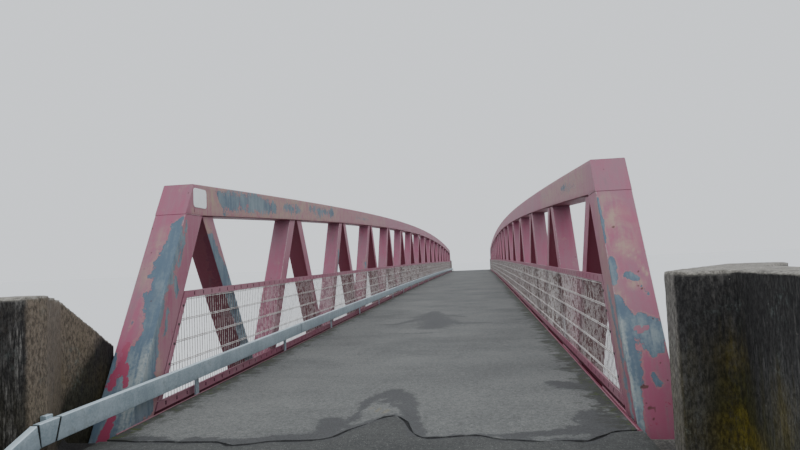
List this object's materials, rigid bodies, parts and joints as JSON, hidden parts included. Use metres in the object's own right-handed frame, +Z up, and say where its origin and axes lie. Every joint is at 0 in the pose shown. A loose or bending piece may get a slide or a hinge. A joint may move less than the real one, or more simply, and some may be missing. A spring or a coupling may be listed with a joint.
{
  "type": "cycle path truss bridge, 1:2 scale model",
  "caption": "Half-through steel truss bridge for a cycle path, with arched top chords, leaning diagonals, grating railings, an asphalt deck and concrete abutments, as a 1:2 scale model.",
  "frame": {"origin": "bottom centre of the whole model, on the ground under the middle of the span", "axes": "+Y along the path from the near end to the far end, +X to the right of someone walking that way, +Z up"},
  "size_m": [3.7494, 38.8, 3.7085],
  "materials": {
    "faded_pink_paint": "faded and peeling pink paint over grey-blue primer",
    "deep_pink_paint": "deep pink paint, sheltered from the sun",
    "galvanised_steel": "dull galvanised steel",
    "weathered_grating": "weathered welded wire grating",
    "asphalt": "worn asphalt, rough",
    "stained_concrete": "rough concrete with stains",
    "bearing_steel": "dark steel",
    "white_plate": "blank white enamel"
  },
  "bodies": {
    "root": {"blank_plate": "white_plate", "deck_asphalt": "asphalt", "deck_grillage": "deep_pink_paint", "deck_plate": "deep_pink_paint", "far_abutment": "stained_concrete", "far_approach_asphalt": "asphalt", "far_left_bearing": "bearing_steel", "far_left_wall": "stained_concrete", "far_left_wall_tail": "stained_concrete", "far_right_bearing": "bearing_steel", "far_right_wall": "stained_concrete", "far_right_wall_tail": "stained_concrete", "guard_rail": "galvanised_steel", "guard_rail_far_end": "galvanised_steel", "guard_rail_near_end": "galvanised_steel", "left_bottom_chord": "deep_pink_paint", "left_deck_edge_strip": "faded_pink_paint", "left_diagonals": "faded_pink_paint", "left_far_end_post": "faded_pink_paint", "left_grating": "weathered_grating", "left_grating_frame": "faded_pink_paint", "left_mid_rail": "faded_pink_paint", "left_near_end_post": "faded_pink_paint", "left_top_chord": "faded_pink_paint", "near_abutment": "stained_concrete", "near_approach_asphalt": "asphalt", "near_left_bearing": "bearing_steel", "near_left_wall": "stained_concrete", "near_left_wall_tail": "stained_concrete", "near_right_bearing": "bearing_steel", "near_right_wall": "stained_concrete", "near_right_wall_tail": "stained_concrete", "right_bottom_chord": "deep_pink_paint", "right_deck_edge_strip": "faded_pink_paint", "right_diagonals": "faded_pink_paint", "right_far_end_post": "faded_pink_paint", "right_grating": "weathered_grating", "right_grating_frame": "faded_pink_paint", "right_mid_rail": "faded_pink_paint", "right_near_end_post": "faded_pink_paint", "right_top_chord": "faded_pink_paint"}
  },
  "joints": []
}
